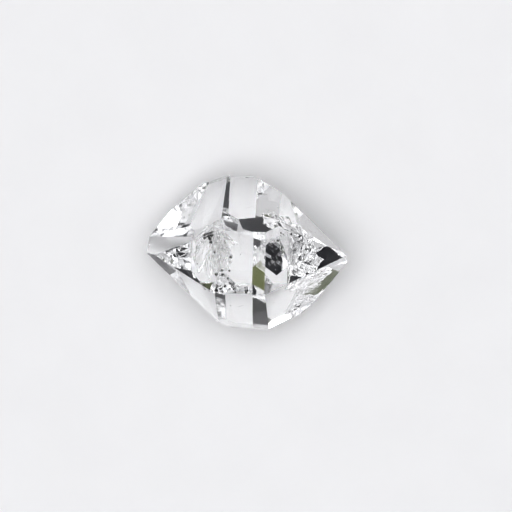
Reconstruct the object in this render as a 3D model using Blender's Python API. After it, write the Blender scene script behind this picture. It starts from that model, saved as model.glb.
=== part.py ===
# A Herkimer diamond: one clear quartz crystal that ends in a point on both sides.
# It lies on its lowest prism face, with its long c axis along X.
# Metres, +Z up. The origin is at the bottom centre of the crystal's box.

import math

import bmesh
import bpy
from mathutils import Matrix, Vector

MILLIMETRE = 0.001

# Angles of quartz. Prism faces stand square to the c axis and turn by 60 degrees from one to the next.
# The faces of both points lean so that their normals are 51.79 degrees from the c axis.
SIDES = 6
SIDE_STEP = math.radians(360.0 / SIDES)
PRISM_LEAN = math.radians(90.0)
POINT_LEAN = math.radians(51.787)

# How far each face has grown from the seed in the middle, in millimetres.
# Each list starts at the face that looks up and goes round the c axis towards +Y.
PRISM_REACH = (8.82, 7.36, 8.30, 9.18, 8.18, 7.80)
RIGHT_POINT_REACH = (8.72, 8.36, 6.93, 7.62, 10.55, 7.97)
LEFT_POINT_REACH = (8.65, 7.36, 10.21, 8.84, 7.27, 7.96)

# The block that the faces are cut from, wider than any crystal that these reaches can give.
BLOCK_WIDTH = 60.0

QUARTZ_COLOUR = (0.93, 0.95, 0.96, 1.0)
QUARTZ_ROUGHNESS = 0.02
QUARTZ_IOR = 1.5485


def clear_scene():
    """Takes away whatever the file held before."""
    for thing in list(bpy.data.objects):
        bpy.data.objects.remove(thing)


def quartz_material():
    """Clear rock crystal."""
    material = bpy.data.materials.new("quartz")
    material.use_nodes = True
    shader = material.node_tree.nodes["Principled BSDF"]
    shader.inputs["Base Color"].default_value = QUARTZ_COLOUR
    shader.inputs["Roughness"].default_value = QUARTZ_ROUGHNESS
    shader.inputs["Metallic"].default_value = 0.0
    shader.inputs["IOR"].default_value = QUARTZ_IOR
    shader.inputs["Transmission Weight"].default_value = 1.0
    return material


def face_normal(turn, lean):
    """Outward normal of a face: its turn round the c axis from the top, and its lean from +X."""
    across = math.sin(lean)
    return Vector((math.cos(lean), across * math.sin(turn), across * math.cos(turn)))


def crystal_faces():
    """Every face as its outward normal and its reach."""
    faces = []
    for side in range(SIDES):
        turn = side * SIDE_STEP
        faces.append((face_normal(turn, PRISM_LEAN), PRISM_REACH[side]))
        faces.append((face_normal(turn, POINT_LEAN), RIGHT_POINT_REACH[side]))
        faces.append((face_normal(turn, math.pi - POINT_LEAN), LEFT_POINT_REACH[side]))
    return faces


def cut_face(solid, normal, reach):
    """Cuts the solid back to one flat face and closes it again."""
    everything = solid.verts[:] + solid.edges[:] + solid.faces[:]
    cut = bmesh.ops.bisect_plane(
        solid,
        geom=everything,
        plane_co=normal * reach,
        plane_no=normal,
        clear_outer=True,
    )
    rim = [item for item in cut["geom_cut"] if isinstance(item, bmesh.types.BMEdge)]
    if rim:
        bmesh.ops.edgeloop_fill(solid, edges=rim)


def stand_on_floor(solid):
    """Moves the solid so that its box is centred over the origin with its lowest face at zero."""
    low = [min(vert.co[axis] for vert in solid.verts) for axis in range(3)]
    high = [max(vert.co[axis] for vert in solid.verts) for axis in range(3)]
    middle = [(a + b) / 2 for a, b in zip(low, high)]
    bmesh.ops.translate(solid, verts=solid.verts, vec=(-middle[0], -middle[1], -low[2]))


def make_crystal():
    """The one solid, cut from a block by all of its faces."""
    solid = bmesh.new()
    bmesh.ops.create_cube(solid, size=BLOCK_WIDTH)
    for normal, reach in crystal_faces():
        cut_face(solid, normal, reach)
    stand_on_floor(solid)
    bmesh.ops.recalc_face_normals(solid, faces=solid.faces)
    mesh = bpy.data.meshes.new("crystal")
    solid.to_mesh(mesh)
    solid.free()
    mesh.transform(Matrix.Scale(MILLIMETRE, 4))
    mesh.materials.append(quartz_material())
    crystal = bpy.data.objects.new("crystal", mesh)
    bpy.context.scene.collection.objects.link(crystal)
    return crystal


clear_scene()
make_crystal()
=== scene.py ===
import math
import random

import bpy
from mathutils import Euler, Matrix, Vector


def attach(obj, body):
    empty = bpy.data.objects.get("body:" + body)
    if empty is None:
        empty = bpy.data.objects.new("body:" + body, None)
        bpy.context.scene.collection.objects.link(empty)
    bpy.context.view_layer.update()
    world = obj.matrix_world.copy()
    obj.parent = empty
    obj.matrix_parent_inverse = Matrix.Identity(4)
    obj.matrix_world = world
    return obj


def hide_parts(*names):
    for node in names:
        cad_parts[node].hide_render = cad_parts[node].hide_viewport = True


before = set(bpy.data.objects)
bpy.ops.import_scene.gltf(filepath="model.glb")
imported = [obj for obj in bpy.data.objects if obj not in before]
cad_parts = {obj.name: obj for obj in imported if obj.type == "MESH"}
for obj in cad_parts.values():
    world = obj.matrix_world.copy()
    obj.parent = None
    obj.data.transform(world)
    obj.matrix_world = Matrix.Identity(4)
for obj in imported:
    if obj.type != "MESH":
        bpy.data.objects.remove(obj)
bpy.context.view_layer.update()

# The quartz body. One clear crystal with natural, mirror-bright faces and edges that are only just
# rounded. It grew in place, so nothing fastens it: it lies on its lowest prism face.
MM = 0.001
MERGE_DISTANCE = 0.001 * MM
FLAT_ANGLE = math.radians(0.5)
EDGE_ROUNDING = 0.03 * MM
EDGE_SEGMENTS = 2
EDGE_ANGLE = math.radians(5.0)
RESTING_NORMAL_Z = -0.9


def choose(things):
    """Selects these objects alone, and makes the first one active."""
    bpy.ops.object.select_all(action="DESELECT")
    for thing in things:
        thing.select_set(True)
    bpy.context.view_layer.objects.active = things[0]


def finish_with(thing, kind, **settings):
    """Adds one modifier with its settings and applies it."""
    modifier = thing.modifiers.new(kind.lower(), kind)
    for name, value in settings.items():
        setattr(modifier, name, value)
    bpy.context.view_layer.objects.active = thing
    bpy.ops.object.modifier_apply(modifier=modifier.name)


crystal = bpy.data.objects.new("quartz_crystal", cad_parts["crystal"].data.copy())
bpy.context.scene.collection.objects.link(crystal)
choose([crystal])
bpy.ops.object.mode_set(mode="EDIT")
bpy.ops.mesh.select_all(action="SELECT")
bpy.ops.mesh.remove_doubles(threshold=MERGE_DISTANCE)
bpy.ops.mesh.dissolve_limited(angle_limit=FLAT_ANGLE)
bpy.ops.object.mode_set(mode="OBJECT")

# Every face but the one that rests on the table, as its normal and its corners in order.
open_faces = []
for face in crystal.data.polygons:
    if face.normal.z > RESTING_NORMAL_Z:
        rim = [crystal.data.vertices[index].co.copy() for index in face.vertices]
        open_faces.append((face.normal.copy(), rim))

# Growth marks on the quartz: low terraces that its last layers left, small three-sided pits, and
# nicks along its edges. They are the same quartz, so they are joined to it and cut from it.
MARK_SEED = 11
TERRACES = 24
TERRACE_RISE = (0.01 * MM, 0.025 * MM)
TERRACE_ROOT = 0.1 * MM
TERRACE_RADIUS = (0.35 * MM, 1.5 * MM)
TERRACE_SIDES = (3, 4, 5, 6)
TERRACE_LENGTH = (0.6, 1.0)
TERRACE_WIDTH = (0.5, 1.0)
TERRACE_SPREAD = (0.2, 0.7)
EDGE_MARGIN = 0.9
PITS = 30
PIT_DEPTH = (0.02 * MM, 0.05 * MM)
PIT_RADIUS = (0.1 * MM, 0.3 * MM)
PIT_SIDES = 3
PIT_SPREAD = (0.3, 0.9)
PIT_FACE_STEP = 5
NICKS = 22
NICK_RADIUS = (0.12 * MM, 0.3 * MM)
NICK_RAISED = 0.75
NICK_ALONG_EDGE = (0.1, 0.9)
NICK_LUMPINESS = (0.85, 1.1)
NICK_LENGTH = (1.0, 2.2)
NICK_WIDTH = (0.8, 1.4)
NICK_FACE_STEP = 7
NICK_FIRST_FACE = 3


def spot_on_face(draw, rim, spread):
    """A place on a face, drawn at random between its middle and its rim."""
    middle = sum(rim, Vector()) / len(rim)
    weights = [draw.random() ** 2 for corner in rim]
    mixed = sum((corner * weight for corner, weight in zip(rim, weights)), Vector()) / sum(weights)
    return middle.lerp(mixed, spread)


def room_round(rim, spot):
    """The distance from a place on a face to the nearest of its edges."""
    distances = []
    for start, end in zip(rim, rim[1:] + rim[:1]):
        along = (end - start).normalized()
        distances.append(((spot - start) - along * along.dot(spot - start)).length)
    return min(distances)


def facing_out(normal):
    """The turn that points an object's own Z along a face's normal."""
    return normal.to_track_quat("Z", "X").to_euler()


def carve(tools, operation):
    """Joins each tool to the crystal or cuts it away, and takes the tool off."""
    for tool in tools:
        finish_with(crystal, "BOOLEAN", object=tool, operation=operation, solver="EXACT")
        bpy.data.objects.remove(tool)


finish_with(
    crystal,
    "BEVEL",
    width=EDGE_ROUNDING,
    segments=EDGE_SEGMENTS,
    limit_method="ANGLE",
    angle_limit=EDGE_ANGLE,
)
draw = random.Random(MARK_SEED)
terraces = []
for number in range(TERRACES):
    normal, rim = open_faces[number % len(open_faces)]
    rise = draw.uniform(*TERRACE_RISE)
    spot = spot_on_face(draw, rim, draw.uniform(*TERRACE_SPREAD))
    radius = min(draw.uniform(*TERRACE_RADIUS), room_round(rim, spot) * EDGE_MARGIN)
    if radius < TERRACE_RADIUS[0]:
        continue
    bpy.ops.mesh.primitive_cylinder_add(
        vertices=draw.choice(TERRACE_SIDES),
        radius=radius,
        depth=rise + TERRACE_ROOT,
        location=spot + normal * (rise - TERRACE_ROOT) / 2,
        rotation=facing_out(normal),
    )
    terrace = bpy.context.object
    terrace.scale = (draw.uniform(*TERRACE_LENGTH), draw.uniform(*TERRACE_WIDTH), 1.0)
    terraces.append(terrace)
carve(terraces, "UNION")

# Each pit is a cone that stands on its tip, with its lower half in the face.
hollows = []
for number in range(PITS):
    normal, rim = open_faces[(number * PIT_FACE_STEP) % len(open_faces)]
    bpy.ops.mesh.primitive_cone_add(
        vertices=PIT_SIDES,
        radius1=0.0,
        radius2=draw.uniform(*PIT_RADIUS),
        depth=draw.uniform(*PIT_DEPTH) * 2,
        location=spot_on_face(draw, rim, draw.uniform(*PIT_SPREAD)),
        rotation=facing_out(normal),
    )
    hollows.append(bpy.context.object)
for number in range(NICKS):
    normal, rim = open_faces[(number * NICK_FACE_STEP + NICK_FIRST_FACE) % len(open_faces)]
    start = rim[number % len(rim)]
    end = rim[(number + 1) % len(rim)]
    edge_spot = start.lerp(end, draw.uniform(*NICK_ALONG_EDGE))
    radius = draw.uniform(*NICK_RADIUS)
    bpy.ops.mesh.primitive_ico_sphere_add(
        subdivisions=2, radius=radius, location=edge_spot + normal * radius * NICK_RAISED
    )
    nick = bpy.context.object
    for corner in nick.data.vertices:
        corner.co *= draw.uniform(*NICK_LUMPINESS)
    nick.scale = (draw.uniform(*NICK_LENGTH), draw.uniform(*NICK_WIDTH), 1.0)
    hollows.append(nick)
carve(hollows, "DIFFERENCE")
choose([crystal])
bpy.ops.object.mode_set(mode="EDIT")
bpy.ops.mesh.select_all(action="SELECT")
bpy.ops.mesh.remove_doubles(threshold=MERGE_DISTANCE)
bpy.ops.mesh.dissolve_degenerate(threshold=MERGE_DISTANCE)
bpy.ops.object.mode_set(mode="OBJECT")

# The cracks inside. They opened as the crystal grew, are filled with gas and lie in it as thin gaps:
# three crumpled, folded ones and two nearly flat ones. Light that meets a gap at a slant is thrown
# back whole, so the folds shine like foil and the flat ones show a dark wall of the room.
GAP = 0.02 * MM
OUTLINE_RANGE = (0.65, 1.15)
FOLD_RANGE = (0.3, 1.0)


def crack_fan(name, place, size, turn, hub, folds, lift, seed, cuts, roughness):
    """A gap that spreads in folds from its hub, like a scallop shell, crumpled all over.

    The place, size and lift are in millimetres, and the turn is in degrees. The hub goes from -1 to 1
    across the size. The cuts and the roughness say how finely and how strongly the gap is crumpled.
    """
    bpy.ops.object.select_all(action="DESELECT")
    bpy.ops.mesh.primitive_circle_add(vertices=folds * 2, radius=0.5 * MM, fill_type="TRIFAN")
    sheet = bpy.context.object
    sheet.name = name
    shape = random.Random(seed)
    middle = min(sheet.data.vertices, key=lambda corner: corner.co.length)
    for corner in sheet.data.vertices:
        side = 1 if corner.index % 2 else -1
        corner.co.x *= size[0] * shape.uniform(*OUTLINE_RANGE)
        corner.co.y *= size[1] * shape.uniform(*OUTLINE_RANGE)
        corner.co.z = side * lift * MM * shape.uniform(*FOLD_RANGE)
    middle.co = Vector((hub[0] * size[0] / 2, hub[1] * size[1] / 2, 0.0)) * MM
    bpy.ops.object.mode_set(mode="EDIT")
    bpy.ops.mesh.select_all(action="SELECT")
    for number, count in enumerate(cuts):
        bpy.ops.mesh.subdivide(number_cuts=count, fractal=roughness, seed=seed + number)
    bpy.ops.object.mode_set(mode="OBJECT")
    finish_with(sheet, "SOLIDIFY", thickness=GAP, offset=0.0)
    sheet.rotation_euler = Euler([math.radians(angle) for angle in turn])
    sheet.location = Vector(place) * MM
    choose([sheet])
    bpy.ops.object.transform_apply(location=True, rotation=True, scale=True)
    bpy.ops.object.mode_set(mode="EDIT")
    bpy.ops.mesh.select_all(action="SELECT")
    bpy.ops.mesh.normals_make_consistent(inside=True)
    bpy.ops.object.mode_set(mode="OBJECT")
    return sheet


cracks = [
    crack_fan(
        "left_crack", place=(-3.2, 0.75, 15.0), size=(5.4, 6.0), turn=(-6, -19, 4),
        hub=(0.1, 0.8), folds=12, lift=0.5, seed=5, cuts=(3, 2), roughness=3.0,
    ),
    crack_fan(
        "right_crack", place=(4.6, 0.35, 10.3), size=(9.0, 7.0), turn=(20, -30, 0),
        hub=(-0.5, -0.55), folds=9, lift=0.9, seed=8, cuts=(3, 1), roughness=4.0,
    ),
    crack_fan(
        "corner_crack", place=(7.1, -3.1, 9.9), size=(4.6, 2.8), turn=(52, 46, 20),
        hub=(-0.7, -0.3), folds=8, lift=0.8, seed=28, cuts=(3, 1), roughness=5.0,
    ),
    crack_fan(
        "upper_flat_crack", place=(2.4, 2.0, 12.9), size=(8.2, 5.4), turn=(23, -6, 0),
        hub=(0.0, 0.0), folds=3, lift=0.01, seed=18, cuts=(3, 1), roughness=0.6,
    ),
    crack_fan(
        "middle_flat_crack", place=(3.0, 0.3, 14.7), size=(4.4, 6.6), turn=(34, 3, 0),
        hub=(0.0, 0.0), folds=3, lift=0.01, seed=19, cuts=(3, 1), roughness=0.6,
    ),
]

# The finish of the quartz. It is clear rock crystal, with hair-fine growth lines across its faces and
# waves so low that only reflections show them. The walls of the gaps inside belong to the same body.
QUARTZ_IOR = 1.5485
QUARTZ_TINT = (0.90, 0.93, 0.95, 1.0)
QUARTZ_ABSORPTION = 2.0
LINES_PER_METRE = (6000.0, 350.0, 350.0)
LINE_DETAIL = 2.0
LINE_HEIGHT = 0.0004 * MM
WAVES_PER_METRE = 900.0
WAVE_DETAIL = 1.0
WAVE_HEIGHT = 0.004 * MM
quartz = bpy.data.materials.new("clear quartz")
quartz.use_nodes = True
nodes = quartz.node_tree.nodes
links = quartz.node_tree.links
shader = nodes["Principled BSDF"]
shader.inputs["Base Color"].default_value = (1.0, 1.0, 1.0, 1.0)
shader.inputs["Roughness"].default_value = 0.0
shader.inputs["IOR"].default_value = QUARTZ_IOR
shader.inputs["Transmission Weight"].default_value = 1.0
absorption = nodes.new("ShaderNodeVolumeAbsorption")
absorption.inputs["Color"].default_value = QUARTZ_TINT
absorption.inputs["Density"].default_value = QUARTZ_ABSORPTION
links.new(absorption.outputs["Volume"], nodes["Material Output"].inputs["Volume"])
where = nodes.new("ShaderNodeTexCoord")
stretch = nodes.new("ShaderNodeMapping")
stretch.inputs["Scale"].default_value = LINES_PER_METRE
lines = nodes.new("ShaderNodeTexNoise")
lines.inputs["Scale"].default_value = 1.0
lines.inputs["Detail"].default_value = LINE_DETAIL
waves = nodes.new("ShaderNodeTexNoise")
waves.inputs["Scale"].default_value = WAVES_PER_METRE
waves.inputs["Detail"].default_value = WAVE_DETAIL
fine = nodes.new("ShaderNodeBump")
fine.inputs["Distance"].default_value = LINE_HEIGHT
broad = nodes.new("ShaderNodeBump")
broad.inputs["Distance"].default_value = WAVE_HEIGHT
for bump in (fine, broad):
    bump.inputs["Strength"].default_value = 1.0
links.new(where.outputs["Object"], stretch.inputs["Vector"])
links.new(stretch.outputs["Vector"], lines.inputs["Vector"])
links.new(where.outputs["Object"], waves.inputs["Vector"])
links.new(lines.outputs["Fac"], fine.inputs["Height"])
links.new(waves.outputs["Fac"], broad.inputs["Height"])
links.new(fine.outputs["Normal"], broad.inputs["Normal"])
links.new(broad.outputs["Normal"], shader.inputs["Normal"])
for piece in [crystal] + cracks:
    piece.data.materials.clear()
    piece.data.materials.append(quartz)
choose([crystal] + cracks)
bpy.ops.object.join()
bpy.ops.mesh.customdata_custom_splitnormals_clear()
bpy.ops.object.shade_flat()
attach(crystal, "root")
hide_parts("crystal")

# The specks. Grains of black natural carbon that the quartz grew round, so they float in it near the
# cracks. They are about a third of a millimetre wide, and larger in a knot at the left crack's hub.
SPECK_SEED = 3
SPECK_RADIUS = (0.13 * MM, 0.19 * MM)
SPECK_PLACES = (
    (5.5, 3.1, 15.4), (6.4, 2.8, 14.6), (4.3, 3.3, 16.2), (7.2, 1.2, 14.0), (-4.3, -3.2, 16.1),
    (-4.2, -3.5, 15.8), (-3.6, -3.6, 16.6), (-2.8, -3.6, 17.5), (-2.4, -3.4, 17.5), (-2.9, -1.7, 17.5),
    (-2.2, -1.7, 17.6), (-2.3, -1.2, 17.5), (-1.4, -1.2, 17.6), (-9.2, 0.0, 12.4), (-8.2, -0.1, 13.2),
    (-6.9, -0.1, 14.3), (-1.3, 0.4, 17.5), (-3.1, 0.9, 17.3), (-3.6, 2.0, 16.9), (4.0, 2.4, 16.5),
)
KNOT_RADIUS = (0.22 * MM, 0.32 * MM)
KNOT_PLACES = ((-3.9, 2.7, 16.1), (-3.5, 2.8, 16.3), (-4.3, 2.5, 15.8), (-3.7, 2.4, 16.5))
SPECK_LUMPINESS = (0.7, 1.2)
SPECK_LENGTH = (0.8, 1.5)
SPECK_WIDTH = (0.7, 1.1)
SPECK_HEIGHT = (0.6, 1.0)
CARBON_COLOUR = (0.012, 0.010, 0.009, 1.0)
CARBON_GRAINS_PER_METRE = 30000.0
CARBON_SMOOTHEST = 0.35
CARBON_ROUGHEST = 0.8
draw = random.Random(SPECK_SEED)
specks = []
for places, radius_range in ((SPECK_PLACES, SPECK_RADIUS), (KNOT_PLACES, KNOT_RADIUS)):
    for place in places:
        bpy.ops.mesh.primitive_ico_sphere_add(
            subdivisions=2, radius=draw.uniform(*radius_range), location=Vector(place) * MM
        )
        speck = bpy.context.object
        for corner in speck.data.vertices:
            corner.co *= draw.uniform(*SPECK_LUMPINESS)
        speck.scale = (
            draw.uniform(*SPECK_LENGTH), draw.uniform(*SPECK_WIDTH), draw.uniform(*SPECK_HEIGHT)
        )
        specks.append(speck)
choose(specks)
bpy.ops.object.join()
specks = bpy.context.object
specks.name = "carbon_specks"
bpy.ops.object.transform_apply(location=True, rotation=True, scale=True)
carbon = bpy.data.materials.new("black carbon")
carbon.use_nodes = True
nodes = carbon.node_tree.nodes
links = carbon.node_tree.links
shader = nodes["Principled BSDF"]
shader.inputs["Base Color"].default_value = CARBON_COLOUR
where = nodes.new("ShaderNodeTexCoord")
grain = nodes.new("ShaderNodeTexNoise")
grain.inputs["Scale"].default_value = CARBON_GRAINS_PER_METRE
gloss = nodes.new("ShaderNodeMapRange")
gloss.inputs["To Min"].default_value = CARBON_SMOOTHEST
gloss.inputs["To Max"].default_value = CARBON_ROUGHEST
links.new(where.outputs["Object"], grain.inputs["Vector"])
links.new(grain.outputs["Fac"], gloss.inputs["Value"])
links.new(gloss.outputs["Result"], shader.inputs["Roughness"])
specks.data.materials.append(carbon)
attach(specks, "root")

# The floor: a plain, pale, matt table top, just under the crystal's resting face, with the faint
# clouding that a wiped surface has.
FLOOR_WIDTH = 1.2
FLOOR_DROP = 0.05 * MM
FLOOR_COLOUR = (0.71, 0.71, 0.72, 1.0)
FLOOR_CLOUD = (0.68, 0.68, 0.69, 1.0)
FLOOR_ROUGHNESS = 0.7
CLOUDS_PER_METRE = 120.0
CLOUD_DETAIL = 6.0
# A Mix node has sockets of the same name for every kind of data, so its colours go by number.
MIX_FIRST = 6
MIX_SECOND = 7
MIX_RESULT = 2
bpy.ops.mesh.primitive_plane_add(size=FLOOR_WIDTH, location=(0.0, 0.0, -FLOOR_DROP))
floor = bpy.context.object
floor.name = "floor"
table = bpy.data.materials.new("pale table")
table.use_nodes = True
nodes = table.node_tree.nodes
links = table.node_tree.links
shader = nodes["Principled BSDF"]
shader.inputs["Roughness"].default_value = FLOOR_ROUGHNESS
where = nodes.new("ShaderNodeTexCoord")
clouds = nodes.new("ShaderNodeTexNoise")
clouds.inputs["Scale"].default_value = CLOUDS_PER_METRE
clouds.inputs["Detail"].default_value = CLOUD_DETAIL
blend = nodes.new("ShaderNodeMix")
blend.data_type = "RGBA"
blend.inputs[MIX_FIRST].default_value = FLOOR_COLOUR
blend.inputs[MIX_SECOND].default_value = FLOOR_CLOUD
links.new(where.outputs["Object"], clouds.inputs["Vector"])
links.new(clouds.outputs["Fac"], blend.inputs["Factor"])
links.new(blend.outputs[MIX_RESULT], shader.inputs["Base Color"])
floor.data.materials.append(table)

# The studio light. The table is lit evenly, most from straight above, and a third more where the light
# comes through the crystal, which gathers it. The crystal itself shows a room: a window, a pale wall,
# dark walls that give clear quartz its black reflections, and dull green ones.
TABLE_LAMP = (0.0, 0.12, 0.993)
TABLE_LAMP_RANGE = (0.84, 1.0)
TABLE_LIGHT_LOW = (0.36, 0.36, 0.365, 1.0)
TABLE_LIGHT_HIGH = (6.6, 6.6, 6.6, 1.0)
GATHERED_LIGHT = (1.33, 1.33, 1.33, 1.0)
BACKDROP = (0.8, 0.8, 0.81, 1.0)
ROOM = (0.66, 0.66, 0.67, 1.0)
WINDOW = (2.0, 2.0, 2.05, 1.0)
PALE_WALL = (0.85, 0.85, 0.86, 1.0)
DARK = (0.02, 0.02, 0.025, 1.0)
GREEN_WALL = (0.20, 0.22, 0.10, 1.0)
DARK_GREEN = (0.11, 0.13, 0.06, 1.0)
# Each patch of the room has its azimuth clockwise from +Y, its height and its half width in degrees,
# and its colour. A later patch covers an earlier one, and all fade out over the soft edge.
SOFT_EDGE = 4.0
PATCHES = (
    (75, 30, 34, DARK),
    (110, 8, 26, DARK),
    (30, 8, 24, DARK),
    (215, 14, 26, DARK),
    (315, 35, 28, WINDOW),
    (178, 36, 28, PALE_WALL),
    (249, 72, 8, DARK),
    (181, 71, 5, DARK),
    (318, 82, 5, DARK),
    (0, 48, 9, GREEN_WALL),
    (13, 29, 8, DARK),
    (120, 30, 13, DARK_GREEN),
    (305, 59, 7, DARK),
    (199, 8, 15, DARK),
    (152, 73, 4, WINDOW),
    (131, 68, 4, DARK),
    (145, 3, 9, DARK_GREEN),
)
world = bpy.data.worlds.new("studio")
bpy.context.scene.world = world
world.use_nodes = True
# What a ray sees here depends on its path, so the light isn't drawn from a map of the bright places.
world.cycles.sampling_method = "NONE"
sky = world.node_tree
direction = sky.nodes.new("ShaderNodeTexCoord")


def nearness(towards):
    """How nearly a ray points towards a direction, as the cosine of the angle between them."""
    facing = sky.nodes.new("ShaderNodeVectorMath")
    facing.operation = "DOT_PRODUCT"
    facing.inputs[1].default_value = towards
    sky.links.new(direction.outputs["Generated"], facing.inputs[0])
    return facing.outputs["Value"]


def shade_between(value, start, end, low, high):
    """A colour that goes from low to high as the value goes from start to end."""
    step = sky.nodes.new("ShaderNodeMapRange")
    step.inputs["From Min"].default_value = start
    step.inputs["From Max"].default_value = end
    sky.links.new(value, step.inputs["Value"])
    mix = sky.nodes.new("ShaderNodeMix")
    mix.data_type = "RGBA"
    sky.links.new(step.outputs["Result"], mix.inputs["Factor"])
    for socket, colour in ((mix.inputs[MIX_FIRST], low), (mix.inputs[MIX_SECOND], high)):
        if isinstance(colour, tuple):
            socket.default_value = colour
        else:
            sky.links.new(colour, socket)
    return mix.outputs[MIX_RESULT]


room = ROOM
for azimuth, height, half_width, colour in PATCHES:
    turn = math.radians(azimuth)
    lift = math.radians(height)
    towards = (math.sin(turn) * math.cos(lift), math.cos(turn) * math.cos(lift), math.sin(lift))
    outer_edge = math.cos(math.radians(half_width + SOFT_EDGE))
    inner_edge = math.cos(math.radians(half_width))
    room = shade_between(nearness(towards), outer_edge, inner_edge, room, colour)
table_light = shade_between(nearness(TABLE_LAMP), *TABLE_LAMP_RANGE, TABLE_LIGHT_LOW, TABLE_LIGHT_HIGH)
gathered = sky.nodes.new("ShaderNodeMix")
gathered.data_type = "RGBA"
gathered.blend_type = "MULTIPLY"
gathered.inputs["Factor"].default_value = 1.0
gathered.inputs[MIX_SECOND].default_value = GATHERED_LIGHT
sky.links.new(table_light, gathered.inputs[MIX_FIRST])
gathered_light = gathered.outputs[MIX_RESULT]
path = sky.nodes.new("ShaderNodeLightPath")
table_light = shade_between(path.outputs["Transmission Depth"], 0.0, 1.0, table_light, gathered_light)
seen = shade_between(path.outputs["Diffuse Depth"], 0.0, 1.0, room, table_light)
seen = shade_between(path.outputs["Is Camera Ray"], 0.0, 1.0, seen, BACKDROP)
sky.links.new(seen, sky.nodes["Background"].inputs["Color"])

# The camera. It looks down on the crystal as the photograph does, which shows the 24 mm length as 201
# pixels. It leans so that the crystal lies the same way in the picture, with the seed that its faces
# grew from at the seed's pixel.
PICTURE_WIDTH = 512
CRYSTAL_LENGTH = 24.0 * MM
CRYSTAL_LENGTH_PIXELS = 201
SEED_PIXEL = (246.0, 252.0)
SEED_PLACE = Vector((-0.11, 0.09, 9.18)) * MM
CAMERA_DISTANCE = 409.0 * MM
CAMERA_LEAN = (6.55, -3.75, -2.08)
CAMERA_SENSOR = 36.0
pixel = CRYSTAL_LENGTH / CRYSTAL_LENGTH_PIXELS
camera_turn = Euler([math.radians(angle) for angle in CAMERA_LEAN]).to_matrix().transposed()
camera_data = bpy.data.cameras.new("camera")
camera_data.sensor_width = CAMERA_SENSOR
camera_data.lens = CAMERA_SENSOR * CAMERA_DISTANCE / (PICTURE_WIDTH * pixel)
camera = bpy.data.objects.new("camera", camera_data)
bpy.context.scene.collection.objects.link(camera)
bpy.context.scene.camera = camera
aside = (PICTURE_WIDTH / 2 - SEED_PIXEL[0]) * pixel
above = (SEED_PIXEL[1] - PICTURE_WIDTH / 2) * pixel
camera.location = SEED_PLACE + camera_turn @ Vector((aside, above, CAMERA_DISTANCE))
camera.rotation_euler = camera_turn.to_euler()

# The picture. Light crosses the crystal many times, so it is followed through many bounces. The gamma
# deepens the middle greys, for the crisp look of clear quartz in daylight.
LIGHT_BOUNCES = 32
PICTURE_GAMMA = 0.74
scene = bpy.context.scene
scene.view_settings.view_transform = "Standard"
scene.view_settings.gamma = PICTURE_GAMMA
scene.cycles.caustics_reflective = True
scene.cycles.caustics_refractive = True
scene.cycles.max_bounces = LIGHT_BOUNCES
scene.cycles.glossy_bounces = LIGHT_BOUNCES
scene.cycles.transmission_bounces = LIGHT_BOUNCES
